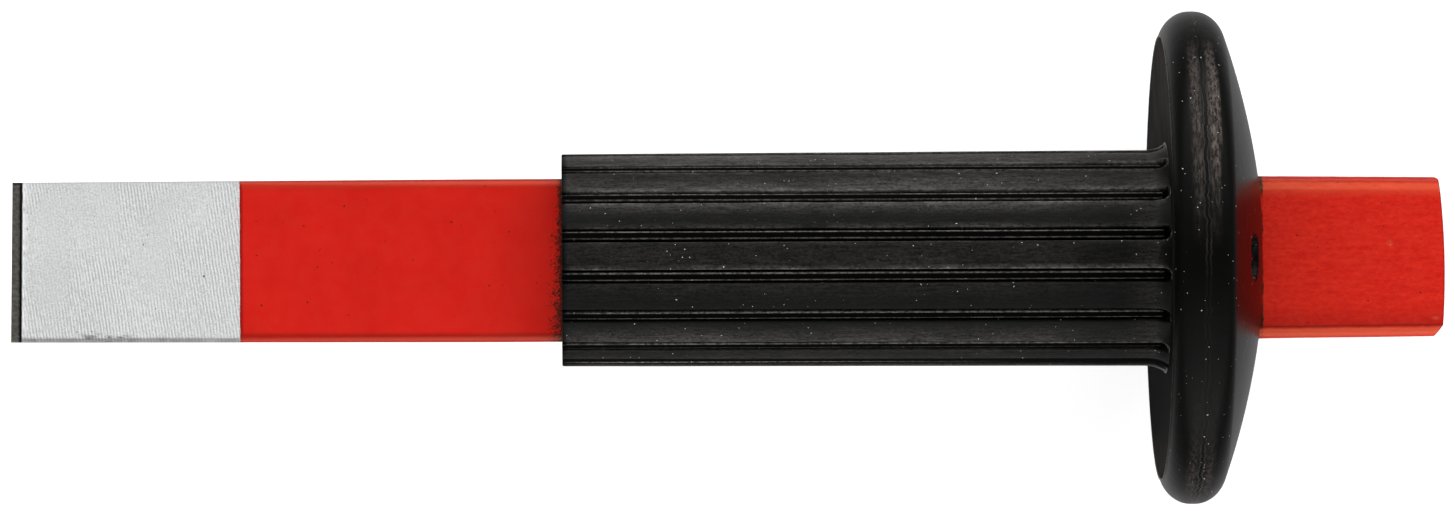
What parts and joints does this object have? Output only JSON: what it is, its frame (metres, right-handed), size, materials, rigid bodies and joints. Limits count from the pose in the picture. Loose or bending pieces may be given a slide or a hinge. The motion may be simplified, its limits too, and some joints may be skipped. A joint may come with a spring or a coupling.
{
  "type": "cold chisel",
  "caption": "Flat forged bar chisel with a ground blade, red lacquered shank and head, and a push-on ribbed rubber grip with a wide mushroom hand guard.",
  "frame": {"origin": "on the bar's long axis, midway between the cutting edge and the struck end", "axes": "+X along the bar from the cutting edge to the struck end, +Z the normal of the bar's wide face, +Y across its width"},
  "size_m": [0.24, 0.0828, 0.0828],
  "materials": {
    "lacquered_steel": "red lacquer, semi-gloss, over forged steel; the last 38 mm of the blade ground and finished in silver grey, with a bare ground cutting bevel",
    "black_rubber": "black moulded rubber, satin on the grip's lands and smoother on the guard"
  },
  "bodies": {
    "bar": {"chisel_bar": "lacquered_steel"},
    "guard": {"hand_guard": "black_rubber"}
  },
  "joints": [
    {"name": "guard_slide", "type": "slide", "parent": "bar", "child": "guard", "axis": [1, 0, 0], "range_m": [-0.053, 0.03]}
  ]
}
